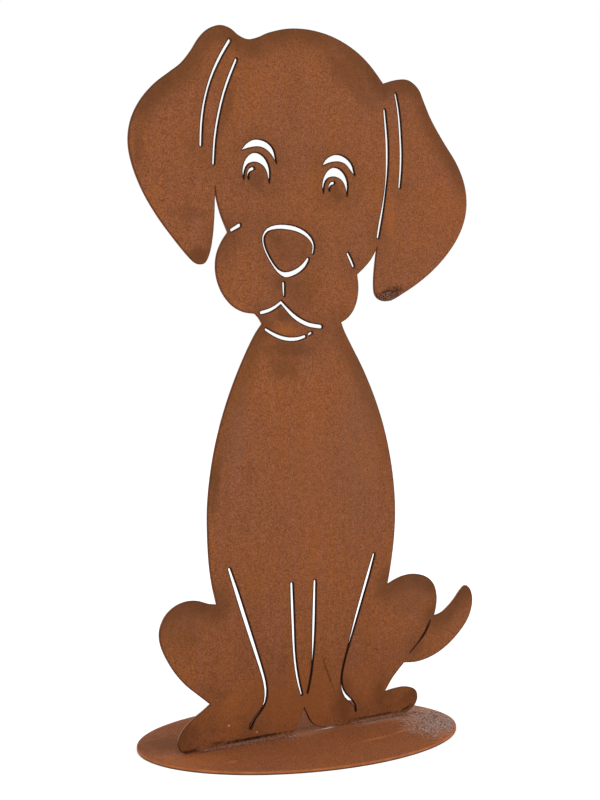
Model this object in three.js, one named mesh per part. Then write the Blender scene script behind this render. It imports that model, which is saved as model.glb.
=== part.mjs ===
// A sitting puppy for the garden, cut as one flat figure from thin weathering steel, with
// its face, ears, legs and tail drawn by slots cut right through the sheet. It stands
// upright across an oval steel plate and is welded to it along the front of its feet.
//
// Millimetres, +Z up. The origin is the centre of the plate's underside, the sheet stands
// in the plane y = 0, and the puppy looks towards -Y. Left and right are the viewer's.

import * as THREE from 'three';

// Driving sizes
const SHEET_THICKNESS = 1.5;
const PLATE_LENGTH = 220;
const PLATE_WIDTH = 162;
const PLATE_THICKNESS = 2;
const BEAD_HEIGHT = 1.9;
const BEAD_REACH = 3.2;
const LEFT_BEAD = [-78, -9];
const RIGHT_BEAD = [40, 88];
const RIPPLE_LENGTH = 8;
const RIPPLE_DEPTH = 0.1;

// The feet stand on the plate's upper face
const SOLE = PLATE_THICKNESS;

// Straight steps between two knots of a curve, in the round end of a slot, round the plate
// and along a bead
const OUTLINE_STEPS = 4;
const SLOT_STEPS = 2;
const END_STEPS = 4;
const PLATE_STEPS = 96;
const BEAD_STEPS = 18;

// Finish of the steel
const sheetRust = new THREE.MeshStandardMaterial({ color: 0x84502f, roughness: 0.85, metalness: 0.15 });
const plateRust = new THREE.MeshStandardMaterial({ color: 0x7d4a2d, roughness: 0.9, metalness: 0.15 });
const weldRust = new THREE.MeshStandardMaterial({ color: 0x8f6a55, roughness: 0.7, metalness: 0.3 });

// A knot of the drawing: x to the viewer's right, z up from the plate's underside
const knots = (pairs) => pairs.map(([x, z]) => new THREE.Vector2(x, z));

// Carries an outline from where it ends through each of the knots in one smooth curve
const sweep = (path, ...pairs) => path.splineThru(knots(pairs));

// The outer edge of the figure. It runs along the soles to the right, up the right side,
// over the head and down the left side. Each sweep ends in a corner of the drawing.
function figureOutline() {
  const outline = new THREE.Shape();
  outline.moveTo(-85.5, SOLE);
  outline.lineTo(-8.5, SOLE);

  // Arch between the two front paws
  sweep(outline, [-5.2, 4.8], [-2.4, 8.6], [-0.2, 13], [2, 17.5]);
  sweep(outline, [4.7, 12.8], [7.6, 8], [12, 4.6], [18, 2.9], [25, SOLE]);
  outline.lineTo(82, SOLE);

  // Right hind foot, and the heel up to the tail
  sweep(outline,
    [90, 3.4], [95.6, 6.3], [98.2, 11], [97.1, 15.6], [93, 18.4], [86, 19.8], [77.5, 19.6],
    [69.3, 18.7]);
  sweep(outline, [75, 26], [81, 31.6], [86.4, 36]);

  // Tail, from below round its tip to the haunch
  sweep(outline,
    [97, 35.3], [108, 36.6], [119, 40], [129.5, 45.5], [139, 52.7], [146, 60.5], [149.5, 70],
    [148.2, 78.2], [143.4, 82.5], [138.4, 79.8], [133, 74.4], [127, 69.6], [120.5, 65.9],
    [113.4, 64.4]);

  // Right haunch and right flank
  sweep(outline,
    [115.4, 71], [115.8, 78.5], [112.8, 86.4], [105.4, 91.9], [94.5, 94.3], [83, 93.2], [71.5, 89.3]);
  sweep(outline,
    [75, 105], [77.7, 124], [78.1, 144], [75.4, 166], [70, 188], [61.8, 209.3], [51.5, 229.2],
    [41, 245.4], [34.8, 255], [32, 261]);

  // Right cheek, and the gap that parts it from the right ear
  sweep(outline, [37.2, 263.8], [42, 268.8], [45.2, 275.6], [46.4, 283.8], [45.4, 292.2]);
  sweep(outline, [52, 297.5], [57.6, 303.2], [62.8, 311]);

  // Right ear
  sweep(outline,
    [61.2, 301], [60, 289.5], [60.8, 280.3], [66, 276.3], [74.5, 276.5], [86, 281.9], [98.5, 288.8],
    [111.5, 297.5], [124, 308.2], [134.4, 320.2], [141.2, 332.8], [143.5, 345.5], [141.2, 358.6],
    [133.8, 371.8], [121.6, 385.2], [110.8, 398.2], [103.8, 409.6], [98.6, 418.2], [89.6, 422.8],
    [79, 421.7], [67.5, 417.8]);

  // Crown of the head, and the left ear
  sweep(outline,
    [56, 428.4], [42.6, 436.5], [26, 442], [8, 443.9], [-9.5, 442.4], [-24.5, 438], [-33.5, 433.7],
    [-41.5, 431.2], [-48.5, 432.6], [-55, 436], [-62.6, 436.7], [-70.6, 433.3], [-77.2, 427],
    [-83.2, 418.2], [-90, 410.3], [-98.6, 403.7], [-108.6, 395.8], [-117.8, 385.5], [-124, 373.6],
    [-125.9, 361], [-123.2, 348], [-116, 333], [-106, 319.2], [-94.6, 306.8], [-84.5, 297],
    [-78.8, 293.2], [-73.4, 293.7], [-69.8, 299.8], [-67.6, 310], [-66.4, 323], [-65.9, 340.5]);

  // Left side of the face, left cheek and chin
  sweep(outline, [-64.4, 332.6], [-61.2, 323], [-56.3, 313]);
  sweep(outline,
    [-60.8, 307], [-64.2, 299.5], [-65.2, 291.5], [-63.6, 283], [-59.2, 275], [-52.4, 268.7],
    [-44.4, 265.4], [-35.9, 264.6]);
  sweep(outline, [-32.9, 261.8], [-30.6, 258.4]);

  // Left flank and left haunch
  sweep(outline,
    [-36.6, 250.7], [-45, 236], [-53, 219.5], [-60, 201.8], [-65.5, 183.5], [-69.2, 165],
    [-71.1, 147], [-71, 130], [-69.9, 114], [-67.8, 101], [-64.6, 88.7]);
  sweep(outline,
    [-70.6, 89.7], [-78.8, 92.2], [-87, 92.4], [-95, 90], [-101.5, 84.8], [-104.9, 77.5],
    [-104.6, 69.8], [-100.8, 61], [-94.3, 51.2], [-86.5, 42.8], [-77.2, 35.4], [-69.2, 29.2]);

  // Left hind foot
  sweep(outline,
    [-75.4, 25.4], [-81.4, 22.2], [-86.4, 18.8], [-90.3, 14.8], [-92.4, 10], [-91.6, 5.8], [-89, 3.2],
    [-85.5, SOLE]);
  return outline;
}

// A slot that follows a centreline. Each knot gives x, z and the width there, and a second
// run of knots that starts where the first ends makes a corner.
function slot(...runs) {
  const line = [];
  for (const run of runs) {
    const curve = new THREE.CatmullRomCurve3(run.map(([x, z, width]) => new THREE.Vector3(x, z, width)));
    const samples = curve.getPoints((run.length - 1) * SLOT_STEPS);
    line.push(...(line.length ? samples.slice(1) : samples));
  }
  const sideOf = (a, b) => new THREE.Vector2(a.y - b.y, b.x - a.x).normalize();
  const last = line.length - 1;
  const leftEdge = [];
  const rightEdge = [];
  line.forEach((point, i) => {
    const before = sideOf(line[Math.max(i - 1, 0)], line[Math.max(i, 1)]);
    const after = sideOf(line[Math.min(i, last - 1)], line[Math.min(i + 1, last)]);
    const side = before.clone().add(after).normalize();
    const reach = point.z / 2 / side.dot(after);
    leftEdge.push(new THREE.Vector2(point.x + side.x * reach, point.y + side.y * reach));
    rightEdge.push(new THREE.Vector2(point.x - side.x * reach, point.y - side.y * reach));
  });
  const roundEnd = (from, to) => {
    const centre = from.clone().add(to).multiplyScalar(0.5);
    const points = [];
    for (let i = 1; i < END_STEPS; i++) {
      points.push(from.clone().rotateAround(centre, -Math.PI * i / END_STEPS));
    }
    return points;
  };
  rightEdge.reverse();
  return new THREE.Path([
    ...leftEdge,
    ...roundEnd(leftEdge[last], rightEdge[0]),
    ...rightEdge,
    ...roundEnd(rightEdge[last], leftEdge[0]),
  ]);
}

// A crescent between two curves that meet in its two tips
function crescent(firstTip, outerKnots, secondTip, innerKnots) {
  const path = new THREE.Path();
  path.moveTo(...firstTip);
  sweep(path, ...outerKnots, secondTip);
  sweep(path, ...innerKnots, firstTip);
  return path;
}

// The lines of the drawing, each cut right through
function figureSlots() {
  return [
    // Two folds in each ear
    slot([[-55.2, 428.6, 2.2], [-61.2, 419.4, 2.3], [-66.8, 409, 2.1], [-71, 398.4, 1.9],
      [-74, 387.2, 2], [-75.6, 376, 2.2], [-76.1, 363.6, 2]]),
    slot([[-50.2, 417.8, 2], [-54.9, 407.8, 2.2], [-59.4, 396.4, 2.1], [-63.2, 383, 2.1],
      [-65.9, 368.6, 2.1], [-67, 353.6, 2]]),
    slot([[78.5, 412.2, 2.1], [80.6, 403.8, 2.3], [82, 394.4, 2.5], [82.9, 384, 2.5],
      [83.4, 373.6, 2.6], [83.1, 362.6, 2.5], [82, 351.4, 2.1]]),
    slot([[68.8, 400.6, 2.2], [69.9, 391.4, 2.5], [70.9, 381.4, 2.7], [71.2, 370.8, 2.7],
      [70.9, 360, 2.2], [69.7, 349, 1.7], [67.6, 337.2, 2.1], [65.2, 326.8, 2.5],
      [63.2, 317.4, 2.3]]),

    // Brows
    crescent([-46.3, 363.6], [[-42.4, 368], [-37, 370.8], [-31, 371.2], [-25.4, 369.5],
      [-21.4, 365.4]], [-19.6, 357.4], [[-22.8, 362], [-27.4, 365.6], [-33, 367], [-39.4, 366]]),
    crescent([16.8, 359.8], [[19.6, 364], [25, 367], [31, 367.9], [37, 366.2], [41.7, 362.2]],
      [43.6, 355.4], [[39.8, 358.8], [35.6, 362.4], [30, 363.6], [23.6, 362.6]]),

    // Whites of the eyes above the pupils, and the glint in each pupil
    crescent([-44.8, 345.6], [[-45.7, 351.4], [-43.6, 357.9], [-39.2, 362], [-33.8, 363],
      [-28.6, 360.6], [-25.3, 355.6], [-24.6, 350]], [-25.5, 344.8], [[-27.1, 351.8], [-30.4, 355.8],
      [-35.6, 357.4], [-40.4, 356.2], [-43.4, 352.4]]),
    crescent([17.4, 342], [[16.5, 347.6], [18.3, 353.4], [22, 357.7], [27, 359.5], [32.2, 358.3],
      [36.1, 354.6], [37.9, 349]], [36.9, 341.4], [[35.4, 348], [32.2, 352], [27, 353.7],
      [22.1, 352.7], [18.9, 349.2]]),
    slot([[-37.4, 353.2, 1.9], [-39.8, 352.2, 1.9], [-41.4, 349.8, 1.4], [-41.1, 346.8, 1.1]]),
    slot([[26, 349.7, 1.8], [23.9, 349, 1.8], [22.3, 346.9, 1.4], [22.2, 344.5, 1.1]]),

    // Nose, left standing on one short bridge at its right
    slot([[8.8, 304, 1.7], [9.6, 308.6, 1.9], [7.3, 312.8, 2.6], [2.4, 316.2, 2.9], [-4.4, 318.4, 3],
      [-12, 319.1, 2.9], [-19.8, 318.6, 2.4], [-26.5, 316.4, 2], [-29.7, 312.2, 1.8],
      [-29.4, 307, 1.8], [-26.6, 301.3, 1.8], [-22.7, 295.9, 1.8], [-18.4, 291.6, 2.2],
      [-13, 289.4, 3.2], [-7.3, 290.5, 3.2], [-1.8, 293.1, 3.2], [2.5, 296.5, 3], [5.1, 300, 2.3]]),

    // Line from the nose to the lip, mouth, and the line under the lip with a thin web in it
    slot([[-14.2, 284.1, 2.2], [-14.1, 280, 2.1], [-13.8, 276.4, 1.5]]),
    slot([[-31.6, 265.3, 2.1], [-26, 266.7, 2.3], [-20.4, 269.2, 2.2], [-16, 272.2, 2]],
      [[-16, 272.2, 2], [-11.7, 268.4, 2.5], [-6.4, 264.2, 3], [-0.4, 261, 3], [6.6, 258.7, 2.8],
        [15.7, 257.8, 2.5]]),
    slot([[-28, 255.1, 1.9], [-22, 252.3, 2.4], [-15.6, 250.2, 2.5], [-9, 249.4, 2.3],
      [-2.4, 249.9, 2.2], [2.8, 251.4, 2]]),
    slot([[5.8, 252.7, 1.7], [7.9, 253.8, 1.6]]),

    // Creases where the cheeks meet the face
    slot([[-53.9, 314.5, 2], [-47.8, 317.9, 2.5]]),
    slot([[37.7, 305.1, 2.2], [40, 301.4, 2.5], [42.2, 297.5, 2.3]]),

    // Legs: the two outer lines end in the curl of a paw, the inner two stop above the arch
    slot([[-55.5, 109.4, 2.1], [-50.5, 96.5, 3], [-45.3, 82.5, 3.2], [-40, 68.5, 3.1],
      [-34.7, 54.6, 2.8], [-30, 41.6, 2.5], [-28, 33, 2.4], [-28.7, 25.4, 1.8], [-31.8, 20.5, 1.2],
      [-36.4, 16.4, 1.6], [-39.8, 11.2, 1.5]]),
    slot([[-7.8, 96.4, 2.4], [-7.3, 84, 2.7], [-6.6, 69.6, 2.6], [-5.8, 54.6, 2.3], [-4.3, 42.6, 2.3],
      [-2.2, 33.2, 2.1], [0, 26.2, 1.6]]),
    slot([[10.7, 96.4, 2.3], [10.3, 84, 2.6], [9.9, 70, 2.7], [9.4, 57.4, 2.2], [8.7, 46.6, 1.3],
      [7.1, 36, 1.1], [4.6, 26.6, 1]]),
    slot([[59.9, 110, 2.1], [55.2, 97.4, 2.9], [50.2, 84.4, 2.8], [45.2, 71.2, 2.5],
      [41.2, 60.2, 1.8], [37.6, 50.8, 1.2], [34.2, 41, 1.1], [32.4, 33, 1.1], [33.1, 26, 1.4],
      [36, 20.5, 2.3], [40.3, 16.7, 2.2], [43.5, 13.2, 1.5], [44.3, 9.8, 1.2]]),

    // Line between the haunch and the tail
    slot([[109.7, 61.2, 1.1], [105.4, 54.3, 1.1], [99.3, 48.2, 1], [91.6, 41.9, 0.9]]),
  ];
}

// The puppy: the outline with its slots, as thick as the sheet and stood on edge
function puppySheet() {
  const outline = figureOutline();
  const holes = figureSlots();
  const flat = new THREE.Shape(outline.getPoints(OUTLINE_STEPS));
  flat.holes = holes.map((hole) => new THREE.Path(hole.getPoints(SLOT_STEPS)));
  const geometry = new THREE.ExtrudeGeometry(flat, { depth: SHEET_THICKNESS, bevelEnabled: false });
  geometry.translate(0, 0, -SHEET_THICKNESS / 2);
  geometry.rotateX(Math.PI / 2);
  const mesh = new THREE.Mesh(geometry, sheetRust);
  mesh.name = 'puppy_sheet';
  return mesh;
}

// The oval plate that the puppy stands on
function ovalPlate() {
  const oval = new THREE.Shape();
  oval.absellipse(0, 0, PLATE_LENGTH / 2, PLATE_WIDTH / 2, 0, 2 * Math.PI);
  const geometry = new THREE.ExtrudeGeometry(oval, {
    depth: PLATE_THICKNESS,
    bevelEnabled: false,
    curveSegments: PLATE_STEPS / 2,
  });
  const mesh = new THREE.Mesh(geometry, plateRust);
  mesh.name = 'oval_plate';
  return mesh;
}

// One run of weld in the corner between the sheet's front face and the plate. Its section
// is a low hump, it thins towards both ends, and its size swells in slow ripples.
function weldBead(name, [startX, endX]) {
  const hump = [[0, 0], [0, 1], [0.3, 0.85], [0.65, 0.5], [1, 0]];
  const endThickness = 0.04;
  const ripples = Math.round((endX - startX) / RIPPLE_LENGTH);
  const corners = [];
  for (let i = 0; i <= BEAD_STEPS; i++) {
    const along = i / BEAD_STEPS;
    const taper = Math.sqrt(Math.sin(Math.PI * (endThickness + (1 - 2 * endThickness) * along)));
    const size = taper * (1 + RIPPLE_DEPTH * Math.sin(2 * Math.PI * ripples * along));
    for (const [out, up] of hump) {
      corners.push(
        startX + along * (endX - startX),
        -SHEET_THICKNESS / 2 - out * size * BEAD_REACH,
        PLATE_THICKNESS + up * size * BEAD_HEIGHT,
      );
    }
  }

  // Skin between one section and the next, then a fan over each end
  const ring = hump.length;
  const triangles = [];
  for (let i = 0; i < BEAD_STEPS; i++) {
    for (let k = 0; k < ring; k++) {
      const a = i * ring + k;
      const b = i * ring + (k + 1) % ring;
      triangles.push(a, b, a + ring, b, b + ring, a + ring);
    }
  }
  const end = BEAD_STEPS * ring;
  for (let k = 1; k < ring - 1; k++) {
    triangles.push(0, k + 1, k);
    triangles.push(end, end + k, end + k + 1);
  }
  const geometry = new THREE.BufferGeometry();
  geometry.setAttribute('position', new THREE.Float32BufferAttribute(corners, 3));
  geometry.setIndex(triangles);
  geometry.computeVertexNormals();
  const mesh = new THREE.Mesh(geometry, weldRust);
  mesh.name = name;
  return mesh;
}

const figure = new THREE.Group();
figure.add(ovalPlate());
figure.add(puppySheet());
figure.add(weldBead('weld_bead_left', LEFT_BEAD));
figure.add(weldBead('weld_bead_right', RIGHT_BEAD));

export default figure;
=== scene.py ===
import functools
import math
import random

import bmesh
import bpy
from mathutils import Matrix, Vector, kdtree, noise
from mathutils.geometry import delaunay_2d_cdt


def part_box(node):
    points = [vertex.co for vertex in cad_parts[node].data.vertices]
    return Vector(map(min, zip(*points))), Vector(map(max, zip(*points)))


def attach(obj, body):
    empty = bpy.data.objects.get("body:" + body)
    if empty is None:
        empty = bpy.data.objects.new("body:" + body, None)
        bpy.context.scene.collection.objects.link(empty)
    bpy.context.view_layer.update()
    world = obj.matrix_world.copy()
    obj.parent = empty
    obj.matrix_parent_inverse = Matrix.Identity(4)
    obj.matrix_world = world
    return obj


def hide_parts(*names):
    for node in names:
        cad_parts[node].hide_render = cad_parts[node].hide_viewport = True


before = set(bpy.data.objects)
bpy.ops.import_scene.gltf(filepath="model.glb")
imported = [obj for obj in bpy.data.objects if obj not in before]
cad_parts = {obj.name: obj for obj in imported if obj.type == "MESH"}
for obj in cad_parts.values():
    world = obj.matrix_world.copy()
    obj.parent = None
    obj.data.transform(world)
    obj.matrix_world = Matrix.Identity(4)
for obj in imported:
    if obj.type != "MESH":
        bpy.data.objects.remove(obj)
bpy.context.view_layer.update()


# The puppy
# One flat figure cut from thin weathering steel, with slots that go right through it.
# Its rolled faces carry a fine skin of rust, darker below every edge that faces up. The cut
# edges are brown round the outside. Inside the slots they are painted nearly black: dark cut
# scale with the slots' shade painted over it.

MM = 0.001
sheet_low, sheet_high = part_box("puppy_sheet")
SHEET_FRONT, SHEET_BACK = sheet_low.y, sheet_high.y
ARRIS = 0.1 * MM
BURNT_RIM = 0.95 * MM
RUST_GROWTH = 0.12 * MM
NOTCH_FADE = 4 * MM
TURNS_BACK = math.cos(math.radians(120))
CUT_STEP = 2 * MM
LATTICE = 4 * MM
LATTICE_MARGIN = 2.5 * MM
LEDGE_REACH = 18 * MM
LEDGE_BAND = 1.25
SLOT_LEDGE = 0.3
OUTLINE_RIM = 0.5
SHARP_CORNER = math.radians(38)
FLAT = 0.9
FACES_UP = 1.4
WELD_TOGETHER = 0.002 * MM
OUTLINE_SIDE, SLOT_SIDE = 1, 2


def make_piece(name, shell, materials):
    """The object made of a finished mesh, with its sharp corners kept sharp."""
    for edge in shell.edges:
        edge.smooth = edge.calc_face_angle(0) < SHARP_CORNER
    mesh = bpy.data.meshes.new(name)
    shell.to_mesh(mesh)
    shell.free()
    for material in materials:
        mesh.materials.append(material)
    piece = bpy.data.objects.new(name, mesh)
    bpy.context.scene.collection.objects.link(piece)
    return piece


def cut_loops():
    """The rings of points round the cuts in the sheet's front: the outline first, then each
    slot. All of them run with the metal on their left."""
    shell = bmesh.new()
    shell.from_mesh(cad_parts["puppy_sheet"].data)
    bmesh.ops.remove_doubles(shell, verts=shell.verts, dist=WELD_TOGETHER)
    cut_edges = [edge for face in shell.faces if face.normal.y < -FLAT for edge in face.edges
                 if any(abs(side.normal.y) < FLAT for side in edge.link_faces)]
    left = dict.fromkeys(cut_edges)
    loops = []
    while left:
        edge = left.popitem()[0]
        first, here = edge.verts
        corners = [first]
        while here != first:
            corners.append(here)
            edge = next(side for side in here.link_edges if side in left)
            del left[edge]
            here = edge.other_vert(here)
        flat = [Vector((v.co.x, v.co.z)) for v in corners]
        loop = []
        for a, b in zip(flat, flat[1:] + flat[:1]):
            parts = math.ceil((b - a).length / CUT_STEP)
            loop += [a.lerp(b, part / parts) for part in range(parts)]
        loops.append(loop)
    shell.free()
    loops.sort(key=len, reverse=True)
    for number, loop in enumerate(loops):
        area = sum(a.cross(b) for a, b in zip(loop, loop[1:] + loop[:1]))
        if (area > 0) != (number == 0):
            loop.reverse()
    return loops


def into_metal(loop):
    """The direction from each point of a ring into the metal beside it."""
    inward = []
    for before, here, after in zip(loop[-1:] + loop[:-1], loop, loop[1:] + loop[:1]):
        a, b = (here - before).normalized(), (after - here).normalized()
        inward.append(Vector((-a.y - b.y, a.x + b.x)).normalized())
    return inward


def rust_growth(loop):
    """How far the rust has grown out at each point of a ring. It fades towards the tip of a
    pointed notch, where the two sides would otherwise grow through each other."""
    tips = []
    for before, here, after in zip(loop[-1:] + loop[:-1], loop, loop[1:] + loop[:1]):
        if (here - before).normalized().dot((after - here).normalized()) < TURNS_BACK:
            tips.append(here)
    return [RUST_GROWTH * min([1.0] + [(here - tip).length / NOTCH_FADE for tip in tips])
            for here in loop]


def lattice_points(loops, cut_points):
    """Points in staggered rows over the metal, none of them close to a cut."""
    sides = [(a, b) for loop in loops for a, b in zip(loop, loop[1:] + loop[:1])]
    points = []
    for row in range(1, math.ceil((sheet_high.z - sheet_low.z) / LATTICE)):
        z = sheet_low.z + row * LATTICE
        crossings = sorted(a.x + (b.x - a.x) * (z - a.y) / (b.y - a.y)
                           for a, b in sides if (a.y > z) != (b.y > z))
        for enter, leave in zip(crossings[::2], crossings[1::2]):
            for column in range(math.ceil(enter / LATTICE), math.floor(leave / LATTICE) + 1):
                place = Vector(((column + 0.5 * (row % 2)) * LATTICE, z))
                if place.x < leave and cut_points.find((*place, 0))[2] > LATTICE_MARGIN:
                    points.append(place)
    return points


def below_ledge(place, cut_points, ledges):
    """How much a cut that faces up darkens a point near it: by the cut's own share in a band
    along it, falling softly to 0 at LEDGE_REACH."""
    shade = 0.0
    for _, i, distance in cut_points.find_range((*place, 0), LEDGE_REACH):
        near = 1 - distance / LEDGE_REACH
        fall = min(1, LEDGE_BAND * near * near * (3 - 2 * near))
        shade = max(shade, fall * ledges[i])
    return shade


def cut_puppy(name, loops, materials):
    """The cut sheet, its arrises eased. Each point keeps two things for the finish. Rim is 1
    along a slot, OUTLINE_RIM along the outline and 0 away from both. Ledge is 1 just below the
    outline where it faces up, and SLOT_LEDGE just below a slot."""
    points, joins, loop_of, ledges = [], [], [], []
    for ring, inset in enumerate((0, ARRIS, ARRIS + BURNT_RIM)):
        for number, loop in enumerate(loops):
            start = len(points)
            inward = into_metal(loop)
            points += [here + (inset - grown) * inner
                       for here, grown, inner in zip(loop, rust_growth(loop), inward)]
            joins += [(start + i, start + (i + 1) % len(loop)) for i in range(len(loop))]
            if ring == 0:
                loop_of += [number] * len(loop)
                share = 1 if number == 0 else SLOT_LEDGE
                ledges += [share * max(0, min(1, -FACES_UP * inner.y)) for inner in inward]
    on_cut = len(loop_of)
    cut_points = kdtree.KDTree(on_cut)
    for i in range(on_cut):
        cut_points.insert((*points[i], 0), i)
    cut_points.balance()
    points += lattice_points(loops, cut_points)

    outline = list(range(len(loops[0])))
    flat, _, triangles, origins, _, _ = delaunay_2d_cdt(points, joins, [outline], 1, 1e-7)
    source = [min(ids) if ids else len(points) for ids in origins]
    metal = [corners for corners in triangles
             if not all(source[i] < on_cut and loop_of[source[i]] > 0 for i in corners)]

    shell = bmesh.new()
    rim = shell.verts.layers.float.new("rim")
    ledge = shell.verts.layers.float.new("ledge")
    sides = []
    for face_y, ease in ((SHEET_FRONT, ARRIS), (SHEET_BACK, -ARRIS)):
        corners = []
        for place, i in zip(flat, source):
            v = shell.verts.new((place.x, face_y + (ease if i < on_cut else 0), place.y))
            if i < 2 * on_cut:
                v[rim] = OUTLINE_RIM if loop_of[i % on_cut] == 0 else 1.0
            v[ledge] = below_ledge(place, cut_points, ledges)
            corners.append(v)
        sides.append(corners)
    front, back = sides
    for a, b, c in metal:
        shell.faces.new((front[a], front[b], front[c]))
        shell.faces.new((back[c], back[b], back[a]))
    place_of = {i: place for place, i in enumerate(source)}
    for i, j in joins[:on_cut]:
        a, b = place_of[i], place_of[j]
        side = shell.faces.new((front[b], front[a], back[a], back[b]))
        side.material_index = OUTLINE_SIDE if loop_of[i] == 0 else SLOT_SIDE
        side.smooth = True
    bmesh.ops.delete(shell, geom=[v for v in shell.verts if not v.link_faces], context="VERTS")
    return make_piece(name, shell, materials)


class Tone:
    """A value that changes over a surface: one socket of a material. Maths on it adds nodes."""

    def __init__(self, tree, socket=None):
        self.tree = tree
        self.socket = socket

    def node(self, kind, settings=None, sockets=None, out=0):
        """Adds a node with its settings and its sockets' values or links, and gives one output."""
        made = self.tree.nodes.new("ShaderNode" + kind)
        for name, setting in (settings or {}).items():
            setattr(made, name, setting)
        for name, value in (sockets or {}).items():
            if isinstance(value, Tone):
                self.tree.links.new(value.socket, made.inputs[name])
            else:
                made.inputs[name].default_value = value
        return Tone(self.tree, made.outputs[out] if made.outputs else None)

    def maths(self, operation, a, b):
        return self.node("Math", {"operation": operation}, {0: a, 1: b})

    def __add__(self, other):
        return self.maths("ADD", self, other)

    def __sub__(self, other):
        return self.maths("SUBTRACT", self, other)

    def __rsub__(self, other):
        return self.maths("SUBTRACT", other, self)

    def __mul__(self, other):
        return self.maths("MULTIPLY", self, other)

    __radd__ = __add__
    __rmul__ = __mul__

    def most(self, other):
        return self.maths("MAXIMUM", self, other)

    def rise(self, start, end):
        """0 up to start and 1 from end, with a soft rise between. Start may be the larger."""
        return self.node("MapRange", {"interpolation_type": "SMOOTHSTEP"},
                         {"Value": self, "From Min": start, "From Max": end})

    def blend(self, low, high):
        """The colour low where the value is 0, and high where it is 1."""
        return self.node("Mix", {"data_type": "RGBA"}, {0: self, 6: low, 7: high}, out=2)

    def lit(self, brightness):
        """A colour made brighter or darker by a factor."""
        return self.node("VectorMath", {"operation": "SCALE"}, {0: self, "Scale": brightness})

    def stretched(self, x, y, z):
        """A place, with each of its axes stretched by a factor."""
        return self.node("VectorMath", {"operation": "MULTIPLY"}, {0: self, 1: (x, y, z)})

    def clouds(self, size, detail=2.0, seed=0.0):
        """Noise about 0.5 with lumps about size metres wide, at a place on the surface."""
        moved = self.node("VectorMath", {"operation": "ADD"}, {0: self, 1: (seed, seed, seed)})
        return self.node("TexNoise", None, {"Vector": moved, "Scale": 1 / size, "Detail": detail})

    def blot(self, centre, reach, turn, rag):
        """1 inside an oval mark, falling softly to 0 at its edge, which the noise rag frays."""
        inside = self.node("Mapping", {"vector_type": "TEXTURE"},
                           {"Vector": self, "Location": centre, "Rotation": turn, "Scale": reach})
        far = inside.node("VectorMath", {"operation": "LENGTH"}, {0: inside}, out="Value")
        return (far + rag).rise(1.25, 0.25)


def rgb(red, green, blue):
    """A colour as a screen shows it, 0 to 255, turned into the linear light of the shaders."""
    shares = [value / 255 for value in (red, green, blue)]
    return tuple(share / 12.92 if share < 0.04 else ((share + 0.055) / 1.055) ** 2.4
                 for share in shares) + (1.0,)


def new_finish(name):
    """A material with nothing in it yet, and the place on the piece as its first tone."""
    material = bpy.data.materials.new(name)
    material.use_nodes = True
    material.node_tree.nodes.clear()
    return material, Tone(material.node_tree).node("TexCoord", out="Object")


def matt_skin(place, colour, roughness, height, depth, shine=0.1, glow=0.0):
    """Closes a finish: its colour, its roughness, and fine relief up to depth metres high."""
    bump = place.node("Bump", None, {"Distance": depth, "Height": height})
    shader = place.node("BsdfPrincipled", None, {
        "Base Color": colour, "Roughness": roughness, "Specular IOR Level": shine, "Normal": bump,
        "Emission Color": (1, 1, 1, 1), "Emission Strength": glow})
    place.node("OutputMaterial", None, {"Surface": shader})


RUST_BROWN = rgb(124, 73, 44)
RUST_ORANGE = rgb(131, 76, 39)
RUST_PINK = rgb(128, 77, 53)
RUST_BRIGHT = rgb(150, 86, 40)
# Dark rust, and on the plate the painted shade of the sheet
RUST_AND_SHADE_DARK = rgb(81, 48, 23)
RUST_GREY = rgb(112, 78, 62)
# Inside the slots: dark cut scale, painted darker still as the shade that fills the narrow slots
SLOT_SHADED_SCALE_BLACK = rgb(40, 16, 5)
SLOT_SHADED_SCALE_BROWN = rgb(52, 24, 9)
BURNT_BROWN = rgb(52, 29, 18)
# Painted shadow, and one real dark scratch
SHADOW_AND_SCRATCH_BLACK = rgb(34, 17, 10)
# Pale specks, and a painted glint at the foot of the right paw
SPECK_AND_GLINT_PALE = rgb(206, 158, 116)
EDGE_BROWN = rgb(112, 64, 36)
EDGE_DARK = rgb(102, 56, 31)
# Painted light: the outline's cut edge where it faces up, made paler as if lit from above
EDGE_LIT_PALE = rgb(140, 102, 84)
GRAIN_SIZE = 1.0 * MM
GRIT_SIZE = 0.55 * MM
FLECK_SIZE = 2.6 * MM
CLOUD_SIZE = 45 * MM
STREAK_WIDTH = 5 * MM
STREAK_DRAW = 0.07


def rust_skin(place, seed, contrast=1.0):
    """The even skin of rust: soft clouds, faint streaks down the sheet, and fine grain."""
    clouds = place.clouds(CLOUD_SIZE, 3.0, seed)
    streaks = place.stretched(1, 1, STREAK_DRAW).clouds(STREAK_WIDTH, 3.0, seed + 1)
    flecks = place.clouds(FLECK_SIZE, 2.0, seed + 4)
    grain = place.clouds(GRAIN_SIZE, 2.0, seed + 2)
    grit = place.clouds(GRIT_SIZE, 1.0, seed + 3)
    colour = clouds.rise(0.3, 0.7).blend(RUST_BROWN, RUST_ORANGE)
    colour = (0.6 * streaks.rise(0.4, 0.75)).blend(colour, RUST_PINK)
    colour = (0.5 * flecks.rise(0.5, 0.68)).blend(colour, RUST_PINK)
    colour = (0.3 * flecks.rise(0.45, 0.3)).blend(colour, RUST_BRIGHT)
    relief = 1.5 * grain + 1.2 * grit + 0.3 * place.clouds(4 * MM, 2.0, seed + 5)
    colour = colour.lit((0.97 - 1.5 * contrast) + contrast * relief)
    return colour, grain, grit


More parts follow.
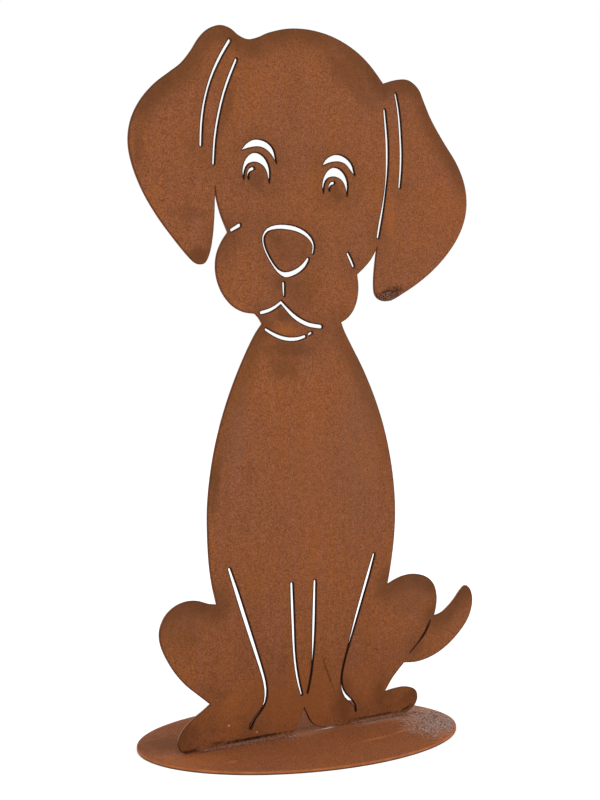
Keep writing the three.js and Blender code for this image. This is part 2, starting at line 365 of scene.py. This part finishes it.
# Marks on the sheet: where each lies, how wide, tall and turned it is, and how strong, in
# millimetres from the frame's origin and in degrees clockwise from the front
DARK_MARKS = {
    "crown, right of the middle": (40, 422, 66, 30, 28, 0.45),
    "crown beside the right ear": (52, 408, 34, 18, 30, 0.35),
    "left ear, outer edge": (-120, 361, 10, 40, 0, 0.35),
    "beside the left ear's inner fold": (-58, 388, 12, 50, 18, 0.4),
    "band across the left ear": (-86, 322, 38, 10, -5, 0.24),
    "left ear's tip": (-78, 298, 22, 12, 0, 0.65),
    "right ear, upper edge": (114, 386, 50, 22, 50, 0.25),
    "left pupil": (-35, 347, 20, 18, 0, 0.5),
    "right pupil": (27, 344, 20, 18, 0, 0.5),
    "nose": (-12, 306, 50, 26, 0, 0.3),
    "nose, upper left": (-20, 311, 22, 14, 30, 0.45),
    "nose, right side": (2, 305, 9, 22, 15, 0.4),
    "right cheek's crease": (42, 297, 8, 12, 0, 0.4),
    "between nose and lip": (-14, 284, 32, 14, 0, 0.45),
    "right of the lip": (2, 279, 32, 36, 20, 0.32),
    "lower lip": (-14, 264, 26, 12, 0, 0.6),
    "under the mouth": (-12, 243, 48, 16, 0, 0.55),
    "under the chin": (-14, 232, 32, 20, 0, 0.4),
    "left flank, upper": (-46, 228, 9, 50, 26, 0.3),
    "left flank, lower": (-66, 164, 11, 46, 6, 0.55),
    "right flank, upper": (46, 228, 15, 52, -26, 0.4),
    "swirl left of the belly": (-40, 167, 12, 16, 30, 0.15),
    "left haunch": (-90, 74, 42, 30, 0, 0.28),
    "right haunch": (92, 78, 40, 28, 0, 0.2),
    "left foreleg": (-18, 36, 20, 50, 0, 0.18),
    "right foreleg": (16, 34, 22, 34, 0, 0.15),
    "right paw": (34, 18, 22, 32, 0, 0.55),
    "left toe": (-86, 12, 12, 24, -10, 0.38),
    "under the tail": (97, 45, 16, 14, 0, 0.45),
}
GREY_MARKS = {
    "right flank": (47, 185, 40, 130, 0, 0.22),
    "left of the belly": (-50, 190, 20, 70, 10, 0.25),
    "curl of the left paw": (-37, 16, 8, 13, 35, 1.0),
    "left haunch": (-88, 90, 50, 50, 0, 0.2),
    "right haunch": (90, 90, 46, 50, 0, 0.2),
}
# Black marks: painted shadow in the gap above each weld and at its ends, under the left toe, at
# the end of the left paw's curl and in among the scale on the right ear. The scratch on the right
# foreleg is a real dark mark.
SHADOW_AND_SCRATCH_MARKS = {
    "above the left weld": (-39, 4.2, 62, 2.2, 0, 0.9),
    "left end of the left weld": (-64, 5.4, 12, 1.4, 0, 0.6),
    "above the right weld": (62, 4.1, 54, 2.0, 0, 0.65),
    "right end of the right weld": (88, 5.2, 14, 2.4, -15, 0.7),
    "under the scale on the right ear": (74, 281, 25, 9, -14, 0.85),
    "scratch on the right foreleg": (21, 37, 1.8, 40, -23, 0.5),
    "under the left toe": (-85, 3.2, 16, 2.2, 0, 0.8),
    "end of the left paw's curl": (-39.5, 12, 4, 6, 30, 1.0),
}
# Pale marks: two real pale specks, and a painted glint of bare metal at the foot of the right paw
SPECK_AND_GLINT_MARKS = {
    "speck on the left foot": (-56, 14.5, 1.7, 1.5, 0, 0.85),
    "foot of the right paw": (20, 2.3, 15, 1.4, 0, 0.7),
    "speck over the left weld": (-35, 7.5, 2.2, 1.6, 0, 0.5),
}
BRIGHT_MARKS = {
    "down the belly": (9, 165, 34, 130, 0, 0.15),
    "chin": (-14, 255, 28, 6, 0, 0.6),
    "feet": (2, 20, 190, 46, 0, 0.45),
    "over the left weld": (-55, 9, 34, 6, 0, 0.5),
    "left thigh": (-58, 50, 14, 54, 12, 0.15),
    "left ankle": (-56, 27, 30, 12, -20, 0.5),
    "right ear beside the fold": (74, 330, 9, 34, 0, 0.4),
}
LIT_UNDER_LEDGE = {
    "left ankle": (-66, 28, 48, 36, 0, 0.75),
    "right heel": (80, 22, 36, 26, 0, 0.75),
}
FAINT_RIM = {
    "between the paws": (-3, 8, 10, 22, 0, 0.8),
    "under the tail": (94, 45, 18, 20, 0, 0.8),
}
# Painted shade: the cut edge in the narrow gap at the foot of the right paw is painted black
SHADED_GAP_CUT = {
    "foot of the right paw": (9, 10, 16, 24, 0, 0.95),
}
MARK_DEPTH = 0.7 * MM
RIGHT_THROUGH = 1.0


def marks_on_sheet(place, marks, rag, depth=MARK_DEPTH):
    """All marks of one kind as one tone. They lie on the front and fade before the back, or
    go right through the sheet."""
    return functools.reduce(Tone.most, [
        strength * place.blot(
            (x * MM, SHEET_FRONT, z * MM), (wide / 2 * MM, depth, tall / 2 * MM),
            (0, math.radians(turn), 0), rag)
        for x, z, wide, tall, turn, strength in marks.values()])


def rolled_face():
    """The rusted face of the sheet, with its marks and the burnt rim along each cut. Some of the
    marks are painted shadow, and one is a painted glint.
    """
    material, place = new_finish("rusted sheet face")
    colour, grain, grit = rust_skin(place, 3.0)
    rag = 1.3 * place.clouds(8 * MM, 5.0, 5.0) - 0.65
    rim = place.node("Attribute", {"attribute_name": "rim"}, out="Fac")
    ledge = place.node("Attribute", {"attribute_name": "ledge"}, out="Fac")
    lit = marks_on_sheet(place, LIT_UNDER_LEDGE, rag, RIGHT_THROUGH)
    shade = ledge * (0.7 * place.clouds(14 * MM, 4.0, 8.0) + 0.25) * (1 - lit)
    colour = marks_on_sheet(place, GREY_MARKS, rag).blend(colour, RUST_GREY)
    colour = marks_on_sheet(place, BRIGHT_MARKS, rag).blend(colour, RUST_BRIGHT)
    dark = marks_on_sheet(place, DARK_MARKS, rag).most(shade)
    colour = (dark * (0.2 + 1.6 * grain)).blend(colour, RUST_AND_SHADE_DARK)
    fine_rag = 1.8 * place.clouds(2 * MM, 3.0, 6.0) - 0.9
    # Painted shadow by the welds, the left toe, the paw's curl and the ear's scale, and one real
    # scratch
    colour = marks_on_sheet(place, SHADOW_AND_SCRATCH_MARKS, fine_rag).blend(colour, SHADOW_AND_SCRATCH_BLACK)
    # Pale specks, and a painted glint at the foot of the right paw
    colour = marks_on_sheet(place, SPECK_AND_GLINT_MARKS, 0.3 * rag).blend(colour, SPECK_AND_GLINT_PALE)
    faint = marks_on_sheet(place, FAINT_RIM, 0.0, RIGHT_THROUGH)
    colour = (rim.rise(0, 0.8) * (1 - faint)).blend(colour, BURNT_BROWN)
    matt_skin(place, colour, 0.8 + 0.1 * grain, grain + 0.5 * grit, 0.06 * MM)
    return material


def cut_wall(name, low, high, seed, shine):
    """A cut edge: fine drag lines across the thickness, in two browns. Painted light makes it
    paler where it faces up, and painted shade makes it black in the narrow gap at the right paw."""
    material, place = new_finish(name)
    drag = place.stretched(1, 0.05, 1).clouds(0.4 * MM, 2.0, seed)
    ledge = place.node("Attribute", {"attribute_name": "ledge"}, out="Fac")
    colour = place.clouds(6 * MM, 3.0, seed).rise(0.35, 0.65).blend(low, high)
    # Painted light: paler where the cut faces up
    colour = (0.7 * ledge.rise(0.6, 1)).blend(colour, EDGE_LIT_PALE)
    # Painted shade: black in the narrow gap at the right paw
    painted_shade = marks_on_sheet(place, SHADED_GAP_CUT, 0.0, RIGHT_THROUGH)
    colour = painted_shade.blend(colour, SLOT_SHADED_SCALE_BLACK)
    matt_skin(place, colour.lit(0.8 + 0.4 * drag), 0.8 + 0.2 * drag, drag, 0.05 * MM, shine)
    return material


cuts = cut_loops()
puppy = cut_puppy("puppy", cuts, [
    rolled_face(),
    cut_wall("cut edge of the outline", EDGE_BROWN, EDGE_DARK, 2.0, 0.06),
    # The slot walls are painted nearly black: dark cut scale with painted shade over it
    cut_wall("cut edge inside the slots", SLOT_SHADED_SCALE_BLACK, SLOT_SHADED_SCALE_BROWN, 4.0, 0.03),
])
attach(puppy, "root")
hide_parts("puppy_sheet")


# The crust on the right ear's tip
# A crescent of hard rust scale that has built up where water hangs at the lowest point of
# the ear. It is a few rows of small flat lumps, painted dark in between as shade and paler on
# top as highlight.

LUMP_SIDES = 9
LUMP_SINK = 0.06 * MM
# The scale's colour with painted shade at the lumps' feet and painted highlight on their crests
SCALE_SHADED_FOOT, SCALE_LIT_CREST = rgb(40, 22, 13), rgb(116, 80, 62)


def add_lump(shell, place, across, up, width, height, draw):
    """Adds a rough low dome to a surface: a closed shell that sinks a little way into it. Its
    crest is 1 at the top and 0 at the foot. Across and up are the surface's two directions."""
    crest = shell.verts.layers.float["crest"]
    out = across.cross(up)
    spin = draw.uniform(0, 2 * math.pi)
    squash = draw.uniform(0.65, 1)
    rings = []
    # Each ring's share of the width, its share of the height, and how near the crest it is
    for share, level, paleness in ((1, -LUMP_SINK / height, 0), (0.86, 0.6, 0.45), (0.4, 1, 1)):
        ring = []
        for i in range(LUMP_SIDES):
            turn = 2 * math.pi * i / LUMP_SIDES
            reach = share * width / 2 * draw.uniform(0.8, 1.1)
            a, b = reach * math.cos(turn), squash * reach * math.sin(turn)
            flat = (across * (a * math.cos(spin) - b * math.sin(spin))
                    + up * (a * math.sin(spin) + b * math.cos(spin)))
            v = shell.verts.new(place + flat + out * height * level)
            v[crest] = paleness
            ring.append(v)
        rings.append(ring)
    faces = [shell.faces.new(reversed(rings[0])), shell.faces.new(rings[-1])]
    for lower, upper in zip(rings, rings[1:]):
        for i in range(LUMP_SIDES):
            j = (i + 1) % LUMP_SIDES
            faces.append(shell.faces.new((lower[i], lower[j], upper[j], upper[i])))
    for face in faces:
        face.smooth = True


def lump_shell():
    """An empty shell for lumps, ready to keep how near a point is to its lump's crest."""
    shell = bmesh.new()
    shell.verts.layers.float.new("crest")
    return shell


def lump_finish(name, foot, top, seed):
    """Rough scale, its colour painted dark at the foot of each lump as shade and paler on its
    crest as highlight.
    """
    material, place = new_finish(name)
    speckle = place.clouds(0.7 * MM, 3.0, seed)
    crest = place.node("Attribute", {"attribute_name": "crest"}, out="Fac")
    # Painted shade at each lump's foot and painted highlight on its crest
    colour = (crest + 1.5 * speckle - 0.75).rise(0.25, 1.1).blend(foot, top)
    matt_skin(place, colour, 0.8 + 0.2 * speckle, speckle, 0.08 * MM)
    return material


ACROSS, UP, BACKWARD = Vector((1, 0, 0)), Vector((0, 0, 1)), Vector((0, 1, 0))
TIP_LEFT, TIP_RIGHT, TIP_BOTTOM, TIP_TOP = 62 * MM, 84 * MM, 270 * MM, 283 * MM
# Each row of scale: how deep in from the edge it lies in millimetres, and the shares of the
# tip's length where it starts and ends
TIP_ROWS = ((0.9, 0, 1), (2.2, 0.06, 0.96), (3.6, 0.16, 0.9), (5.0, 0.28, 0.78))

draw = random.Random(11)
shell = lump_shell()
tip = [(here, inner) for here, inner in zip(cuts[0], into_metal(cuts[0]))
       if TIP_LEFT < here.x < TIP_RIGHT and TIP_BOTTOM < here.y < TIP_TOP]
tip.sort(key=lambda pair: pair[0].x)
for depth, start, end in TIP_ROWS:
    along = start
    while along < end:
        here, inner = tip[int(along * (len(tip) - 1))]
        spot = here + inner * (depth + draw.uniform(-0.4, 0.4)) * MM
        add_lump(shell, Vector((spot.x, SHEET_FRONT, spot.y)), ACROSS, UP,
                 draw.uniform(1.4, 2.6) * MM, draw.uniform(0.2, 0.4) * MM, draw)
        along += draw.uniform(0.045, 0.075)
ear_crust = make_piece("ear_tip_crust", shell, [
    lump_finish("scale on the ear", SCALE_SHADED_FOOT, SCALE_LIT_CREST, 60.0)])
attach(ear_crust, "root")


# The foot plate
# An oval of the same kind of steel, laid flat, a little thicker than the puppy. Its rust is
# smooth and streaked along its length, with a grey granular crust over its right end.

plate_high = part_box("oval_plate")[1]
PLATE_EDGE_STEPS = 288
PLATE_ARRIS = 0.3 * MM
PLATE_RINGS = 12
PLATE_STREAK = rgb(134, 75, 39)
PLATE_PINK = rgb(152, 113, 94)
# Scratches, and the painted highlight along the right rim
PLATE_SCRATCH_AND_HIGHLIGHT = rgb(166, 94, 50)
# Painted glint of bare metal
BARE_METAL_GLINT = rgb(200, 194, 192)
# The plate's edge: orange rust painted brighter as a highlight
PLATE_EDGE_LIT_LOW, PLATE_EDGE_LIT_HIGH = rgb(146, 84, 45), rgb(164, 98, 60)
# Painted contact shadow along the foot of the plate's edge
PLATE_EDGE_CONTACT_SHADOW = rgb(40, 24, 16)


def plate_mesh():
    """The oval built up in rings, its two arrises eased."""
    shell = bmesh.new()
    length, width = plate_high.x, plate_high.y
    top, ease = plate_high.z, PLATE_ARRIS
    profile = [(ring / PLATE_RINGS, 0.0, top) for ring in range(1, PLATE_RINGS)]
    profile += [(1, -ease, top), (1, -0.3 * ease, top - 0.3 * ease), (1, 0.0, top - ease)]
    profile += [(1, 0.0, ease), (1, -0.3 * ease, 0.3 * ease), (1, -ease, 0.0)]
    rings = []
    for share, inward, height in profile:
        ring = []
        for i in range(PLATE_EDGE_STEPS):
            angle = 2 * math.pi * i / PLATE_EDGE_STEPS
            ring.append(shell.verts.new(((length * share + inward) * math.cos(angle),
                                         (width * share + inward) * math.sin(angle), height)))
        rings.append(ring)
    for step, (inner, outer) in enumerate(zip(rings, rings[1:])):
        for i in range(PLATE_EDGE_STEPS):
            j = (i + 1) % PLATE_EDGE_STEPS
            face = shell.faces.new((inner[i], outer[i], outer[j], inner[j]))
            face.material_index = int(step >= PLATE_RINGS - 1)
    shell.faces.new(rings[0])
    shell.faces.new(reversed(rings[-1]))
    for face in shell.faces:
        face.smooth = True
    return shell


# Marks on the plate: where each lies, how long, wide and turned it is, and how strong, in
# millimetres from the frame's origin and in degrees anticlockwise from above
# Painted shade on the plate: behind the left toe and the arch of the paws, where the sheet shades
# it, under the left foot, and a painted shadow line along the joint in front of each foot
PLATE_SHADE_MARKS = {
    "behind the left toe": (-84, 26, 50, 44, 0, 0.45),
    "behind the arch of the paws": (3, 5, 30, 16, 0, 0.5),
    "under the left foot": (-74, 8, 44, 14, 0, 0.5),
    "in front of the left foot": (-62, -3, 50, 5, 0, 0.5),
    "in front of the right foot": (66, -3, 40, 5, 0, 0.4),
}
PLATE_PINK_MARKS = {
    "behind the right heel": (86, 14, 60, 44, 0, 0.85),
    "under the crust": (88, -28, 84, 50, 58, 0.9),
    "in front of the right foot": (66, -6, 70, 12, 0, 0.7),
    "in front of the paws": (6, -6, 50, 9, 0, 0.2),
}
PLATE_BRIGHT_MARKS = {
    "scratch, left part": (27, -41, 34, 4.0, 5, 1.0),
    "scratch, right part": (54, -36, 38, 4.0, 15, 0.9),
    "scratch near the heel": (76, -18.5, 22, 4, -6, 0.6),
    "scratch beside the paws": (57, -13, 24, 3.5, 7, 0.4),
    "patch at the left front": (-76, -31.5, 12, 5, 0, 0.8),
    # Painted highlight where the rim at the right catches the light
    "rim at the right": (70, -62, 60, 14, 38, 0.6),
    "front middle": (6, -66, 130, 30, 0, 0.1),
    "left end": (-92, -18, 44, 50, 20, 0.3),
}
# Painted glints of bare metal at the foot of the right paw and the end of the left weld
PLATE_GLINT_MARKS = {
    "foot of the right paw": (20, -1.5, 17, 2.0, 0, 1.0),
    "end of the left weld": (-11, -4.5, 8, 2.4, -10, 0.7),
}


def marks_on_plate(place, marks, rag):
    """All marks of one kind as one tone."""
    return functools.reduce(Tone.most, [
        strength * place.blot(
            (x * MM, y * MM, plate_high.z), (long / 2 * MM, wide / 2 * MM, MARK_DEPTH),
            (0, 0, math.radians(turn)), rag)
        for x, y, long, wide, turn, strength in marks.values()])


def plate_finish():
    """The plate's rust, with the scratches across its front. It also carries painted shade where
    the sheet stands on it, painted glints, and a painted highlight by the right rim.
    """
    material, place = new_finish("rusted plate")
    colour, grain, grit = rust_skin(place, 30.0, 1.4)
    rag = 1.6 * place.clouds(5 * MM, 4.0, 35.0) - 0.8
    streaks = place.stretched(0.08, 1, 1).clouds(3 * MM, 4.0, 36.0)
    colour = (0.7 * streaks.rise(0.45, 0.75)).blend(colour.lit(1.09), PLATE_STREAK)
    colour = marks_on_plate(place, PLATE_PINK_MARKS, rag).blend(colour, PLATE_PINK)
    # Scratches, and a painted highlight along the right rim
    colour = marks_on_plate(place, PLATE_BRIGHT_MARKS, rag).blend(colour, PLATE_SCRATCH_AND_HIGHLIGHT)
    # Painted shade where the sheet stands on the plate
    colour = marks_on_plate(place, PLATE_SHADE_MARKS, rag).blend(colour, RUST_AND_SHADE_DARK)
    # Painted glints of bare metal
    colour = marks_on_plate(place, PLATE_GLINT_MARKS, rag).blend(colour, BARE_METAL_GLINT)
    matt_skin(place, colour, 0.8 + 0.1 * grain, grain + 0.5 * grit, 0.08 * MM)
    return material


def plate_wall():
    """The plate's cut edge: its orange rust painted brighter as a highlight, and painted black as
    contact shadow along its foot.
    """
    material, place = new_finish("cut edge of the plate")
    drag = place.stretched(1, 1, 0.1).clouds(0.8 * MM, 2.0, 41.0)
    # Painted contact shadow: dark along the bottom of the edge
    painted_shade = place.node("SeparateXYZ", None, {0: place}, out="Z").rise(1.1 * MM, 0.3 * MM)
    patches = place.clouds(9 * MM, 3.0, 42.0).rise(0.3, 0.7)
    # Painted highlight over the edge's orange rust
    colour = patches.blend(PLATE_EDGE_LIT_LOW, PLATE_EDGE_LIT_HIGH)
    colour = (0.9 * painted_shade).blend(colour.lit(0.7 + 0.6 * drag), PLATE_EDGE_CONTACT_SHADOW)
    matt_skin(place, colour, 0.8 + 0.2 * drag, drag, 0.06 * MM)
    return material


plate = make_piece("foot_plate", plate_mesh(), [plate_finish(), plate_wall()])
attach(plate, "root")
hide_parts("oval_plate")


# The crust on the plate's right end
# Grey and dark grains of scale, crowded at the front of the plate's right end and thinner
# towards its middle. They have grown on the plate and stand a fraction of a millimetre proud.

# The crust's middle, length, width and patches are in millimetres on the plate. A grain is
# left out past CRUST_REACH from the middle, and past CRUST_RIM of the plate's own oval.
CRUST_MIDDLE = Vector((88, -32))
CRUST_LENGTH, CRUST_WIDTH, CRUST_TURN = 46, 24, math.radians(52)
CRUST_PATCH = 7
CRUST_REACH = 1.3
CRUST_RIM = 0.985
GRAINS = 1500
# Each grain's colour with painted shade at its foot and painted highlight on its crest
PALE_GRAIN_SHADED_FOOT, PALE_GRAIN_LIT_CREST = rgb(128, 99, 88), rgb(184, 157, 146)
DARK_GRAIN_SHADED_FOOT, DARK_GRAIN_LIT_CREST = rgb(44, 29, 25), rgb(104, 78, 68)

draw = random.Random(23)
pale_shell, dark_shell = lump_shell(), lump_shell()
placed = 0
while placed < GRAINS:
    along, aside = draw.gauss(0, 0.5), draw.gauss(0, 0.5)
    spot = CRUST_MIDDLE + Vector((
        CRUST_LENGTH * along * math.cos(CRUST_TURN) - CRUST_WIDTH * aside * math.sin(CRUST_TURN),
        CRUST_LENGTH * along * math.sin(CRUST_TURN) + CRUST_WIDTH * aside * math.cos(CRUST_TURN)))
    rim_share = math.hypot(spot.x * MM / plate_high.x, spot.y * MM / plate_high.y)
    far = along ** 2 + aside ** 2
    if rim_share > CRUST_RIM or far > CRUST_REACH:
        continue
    patch = noise.noise(Vector((spot.x / CRUST_PATCH, spot.y / CRUST_PATCH, 4)))
    if patch < draw.uniform(-0.6, 0.3):
        continue
    dark = draw.random() < 0.08 + 0.25 * math.exp(-far / 0.3)
    add_lump(dark_shell if dark else pale_shell, Vector((spot.x * MM, spot.y * MM, plate_high.z)),
             ACROSS, BACKWARD, draw.uniform(0.7, 1.9) * MM, draw.uniform(0.08, 0.3) * MM, draw)
    placed += 1
for name, shell, foot, top in (
        ("plate_crust_pale", pale_shell, PALE_GRAIN_SHADED_FOOT, PALE_GRAIN_LIT_CREST),
        ("plate_crust_dark", dark_shell, DARK_GRAIN_SHADED_FOOT, DARK_GRAIN_LIT_CREST)):
    crust = make_piece(name, shell, [lump_finish(name.replace("_", " "), foot, top, 70.0)])
    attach(crust, "root")


# The welds
# Two short runs of weld in the corner between the sheet's front and the plate, laid by hand.
# Each is a low hump of overlapping ripples under rust, with painted shade where it meets the
# sheet. Small beads of spatter lie in front of them.

BEAD_STEP = 0.35 * MM
BEAD_ARC = 9
BEAD_DIP = 0.55
RIPPLE = 2.3 * MM
# The last colour is painted shade in the crevice against the sheet
WELD_BROWN, WELD_PALE, WELD_CREVICE_SHADE = rgb(92, 53, 35), rgb(132, 94, 76), rgb(30, 15, 9)
# The spatter's colour with painted shade at each bead's foot and painted highlight on its crest
SPATTER_SHADED_FOOT, SPATTER_LIT_CREST = rgb(70, 40, 26), rgb(158, 115, 90)


def weld_finish():
    """Rust over the weld, painted black as shade in the crevice where it meets the sheet."""
    material, place = new_finish("rusted weld")
    speckle = place.clouds(0.9 * MM, 3.0, 50.0)
    out = place.node("SeparateXYZ", None, {0: place}, out="Y")
    crevice = out.rise(SHEET_FRONT - 0.7 * MM, SHEET_FRONT)
    colour = speckle.rise(0.35, 0.65).blend(WELD_BROWN, WELD_PALE)
    # Painted shade in the crevice against the sheet
    colour = (0.95 * crevice).blend(colour, WELD_CREVICE_SHADE)
    matt_skin(place, colour, 0.7 + 0.2 * speckle, speckle, 0.1 * MM)
    return material


def weld_bead(node, seed):
    """A rippled bead about as long, high and deep as the node that it stands for, dipped where
    it meets the sheet."""
    low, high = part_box(node)
    height, reach = high.z - low.z, high.y - low.y
    steps = round((high.x - low.x) / BEAD_STEP)
    shell = bmesh.new()
    rings = []
    for i in range(steps + 1):
        along = i / steps
        x = low.x + along * (high.x - low.x)
        taper = math.sin(math.pi * (0.01 + 0.98 * along)) ** 0.35
        swell = 0.8 + 0.2 * noise.noise(Vector((x / (6 * MM), seed, 0)))
        ring = [shell.verts.new((x, high.y, low.z))]
        for k in range(BEAD_ARC + 1):
            turn = math.pi / 2 * k / BEAD_ARC
            phase = (x / RIPPLE - 0.6 * math.sin(2 * turn)) % 1
            rough = noise.noise(Vector((x / MM, 3 * turn, seed)))
            size = taper * swell * (0.82 + 0.13 * phase + 0.12 * rough)
            dip = BEAD_DIP if k == 0 else 1
            ring.append(shell.verts.new((x, high.y - reach * size * math.sin(turn),
                                         low.z + height * size * dip * math.cos(turn))))
        rings.append(ring)
    for before, after in zip(rings, rings[1:]):
        for k in range(len(before)):
            j = (k + 1) % len(before)
            shell.faces.new((before[k], before[j], after[j], after[k])).smooth = True
    shell.faces.new(reversed(rings[0]))
    shell.faces.new(rings[-1])
    bmesh.ops.recalc_face_normals(shell, faces=shell.faces[:])
    return shell


weld_rust = weld_finish()
for side, seed in (("left", 1.0), ("right", 7.0)):
    bead = make_piece(f"weld_{side}", weld_bead(f"weld_bead_{side}", seed), [weld_rust])
    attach(bead, "root")
    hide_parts(f"weld_bead_{side}")

# Each run of spatter: its left and right end in millimetres, how many beads, how far they flew
SPATTER = ((-52, -6, 125, 0.9), (-78, -50, 50, 0.5), (38, 96, 130, 0.6))

draw = random.Random(31)
shell = lump_shell()
for left_end, right_end, count, spread in SPATTER:
    for _ in range(count):
        x = draw.uniform(left_end, right_end)
        ahead = 1.5 + 3 * spread * draw.expovariate(1)
        add_lump(shell, Vector((x * MM, SHEET_FRONT - ahead * MM, plate_high.z)), ACROSS, BACKWARD,
                 draw.uniform(0.6, 1.4) * MM, draw.uniform(0.15, 0.45) * MM, draw)
spatter = make_piece("weld_spatter", shell, [
    lump_finish("weld spatter", SPATTER_SHADED_FOOT, SPATTER_LIT_CREST, 80.0)])
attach(spatter, "root")


# The studio
# A wide pale floor under an even white sky, with two large soft lamps in front. The camera
# stands to the left of the puppy, level with its middle.

FLOOR_RADIUS = 6.0
FLOOR_LOW, FLOOR_HIGH = rgb(250, 250, 250), rgb(253, 253, 253)
FLOOR_GLOW = 0.2
CHEST = Vector((0, 0, 0.2))
shell = bmesh.new()
bmesh.ops.create_circle(shell, cap_ends=True, segments=96, radius=FLOOR_RADIUS)
material, place = new_finish("pale floor")
matt_skin(place, place.clouds(0.2).blend(FLOOR_LOW, FLOOR_HIGH), 0.9 + 0.05 * place.clouds(0.1),
          place.clouds(0.01), 0.01 * MM, 0.0, FLOOR_GLOW)
floor = make_piece("floor", shell, [material])

world = bpy.data.worlds.new("white sky")
world.use_nodes = True
world.node_tree.nodes["Background"].inputs["Color"].default_value = (1, 1, 1, 1)
world.node_tree.nodes["Background"].inputs["Strength"].default_value = 1.0
bpy.context.scene.world = world
bpy.context.scene.view_settings.view_transform = "Standard"


def soft_lamp(name, place, size, power):
    """A large square lamp that faces the puppy's chest."""
    lamp = bpy.data.lights.new(name, "AREA")
    lamp.size = size
    lamp.energy = power
    holder = bpy.data.objects.new(name, lamp)
    holder.location = place
    holder.rotation_euler = (CHEST - Vector(place)).to_track_quat("-Z", "Y").to_euler()
    bpy.context.scene.collection.objects.link(holder)


soft_lamp("lamp above left", (-0.9, -1.2, 1.6), 1.2, 5.5)
soft_lamp("lamp above right", (1.2, -0.9, 1.3), 1.2, 3.7)

TURN = math.radians(37.88)
TILT = math.radians(0.747)
DISTANCE = 0.9153
AIM = Vector((-0.0009, 0, 0.2114))
LENS = 65.6
camera = bpy.data.objects.new("camera", bpy.data.cameras.new("camera"))
camera.data.lens = LENS
camera.data.clip_start = 0.01
camera.location = AIM + DISTANCE * Vector((
    -math.sin(TURN) * math.cos(TILT), -math.cos(TURN) * math.cos(TILT), math.sin(TILT)))
camera.rotation_euler = (AIM - camera.location).to_track_quat("-Z", "Y").to_euler()
bpy.context.scene.collection.objects.link(camera)
bpy.context.scene.camera = camera
